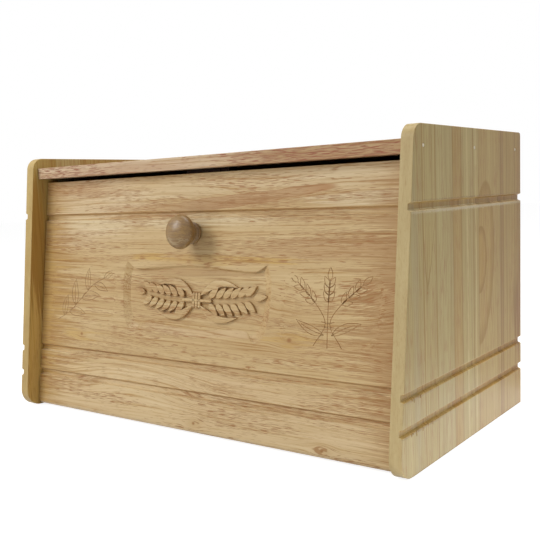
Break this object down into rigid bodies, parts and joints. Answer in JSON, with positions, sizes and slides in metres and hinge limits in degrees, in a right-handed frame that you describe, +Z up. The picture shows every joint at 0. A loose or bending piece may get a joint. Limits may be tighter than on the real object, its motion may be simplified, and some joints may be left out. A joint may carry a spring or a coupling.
{
  "type": "bread bin",
  "caption": "Drop-front wooden bread bin: boarded case with grooved sides and a leaning door, hinged at its foot, that folds forward by a turned knob onto the worktop.",
  "frame": {"origin": "middle of the bin's footprint, on the surface it stands on", "axes": "+Z up, -Y out of the front, +X to the right as seen from the front"},
  "size_m": [0.4, 0.2259, 0.232],
  "materials": {
    "side_wood": "satin lacquer",
    "top_wood": "satin lacquer",
    "base_wood": "satin lacquer",
    "back_ply": "satin lacquer",
    "door_wood": "satin lacquer",
    "knob_wood": "satin lacquer",
    "putty": "matt",
    "pin_steel": "bright drawn",
    "hinge_steel": "bright drawn",
    "pole_steel": "zinc plated",
    "screw_steel": "zinc plated",
    "catch_plastic": "fine moulded",
    "magnet": "sintered ferrite"
  },
  "bodies": {
    "case": {"side_panel_left": "side_wood", "side_panel_right": "side_wood", "top_board": "top_wood", "base_board": "base_wood", "back_board": "back_ply", "top_pin_left_front": "pin_steel", "top_pin_left_middle": "pin_steel", "top_pin_left_rear": "pin_steel", "top_pin_right_front": "pin_steel", "top_pin_right_middle": "pin_steel", "top_pin_right_rear": "pin_steel", "pin_putty_left_front": "putty", "pin_putty_left_middle": "putty", "pin_putty_left_rear": "putty", "pin_putty_right_front": "putty", "pin_putty_right_middle": "putty", "pin_putty_right_rear": "putty", "hinge_pin_left": "hinge_steel", "hinge_pin_right": "hinge_steel", "catch_housing": "catch_plastic", "catch_magnet": "magnet", "catch_pole_upper": "pole_steel", "catch_pole_lower": "pole_steel", "catch_screw_left": "screw_steel", "catch_screw_right": "screw_steel"},
    "door": {"door_panel": "door_wood", "knob": "knob_wood", "knob_screw": "screw_steel", "knob_washer": "screw_steel", "strike_plate": "pole_steel", "strike_screw_left": "screw_steel", "strike_screw_right": "screw_steel"}
  },
  "joints": [
    {"name": "door_hinge", "type": "hinge", "parent": "case", "child": "door", "pos_m": [0, -0.09628, 0.00823], "axis": [1, 0, 0], "range_deg": [0, 90]}
  ]
}
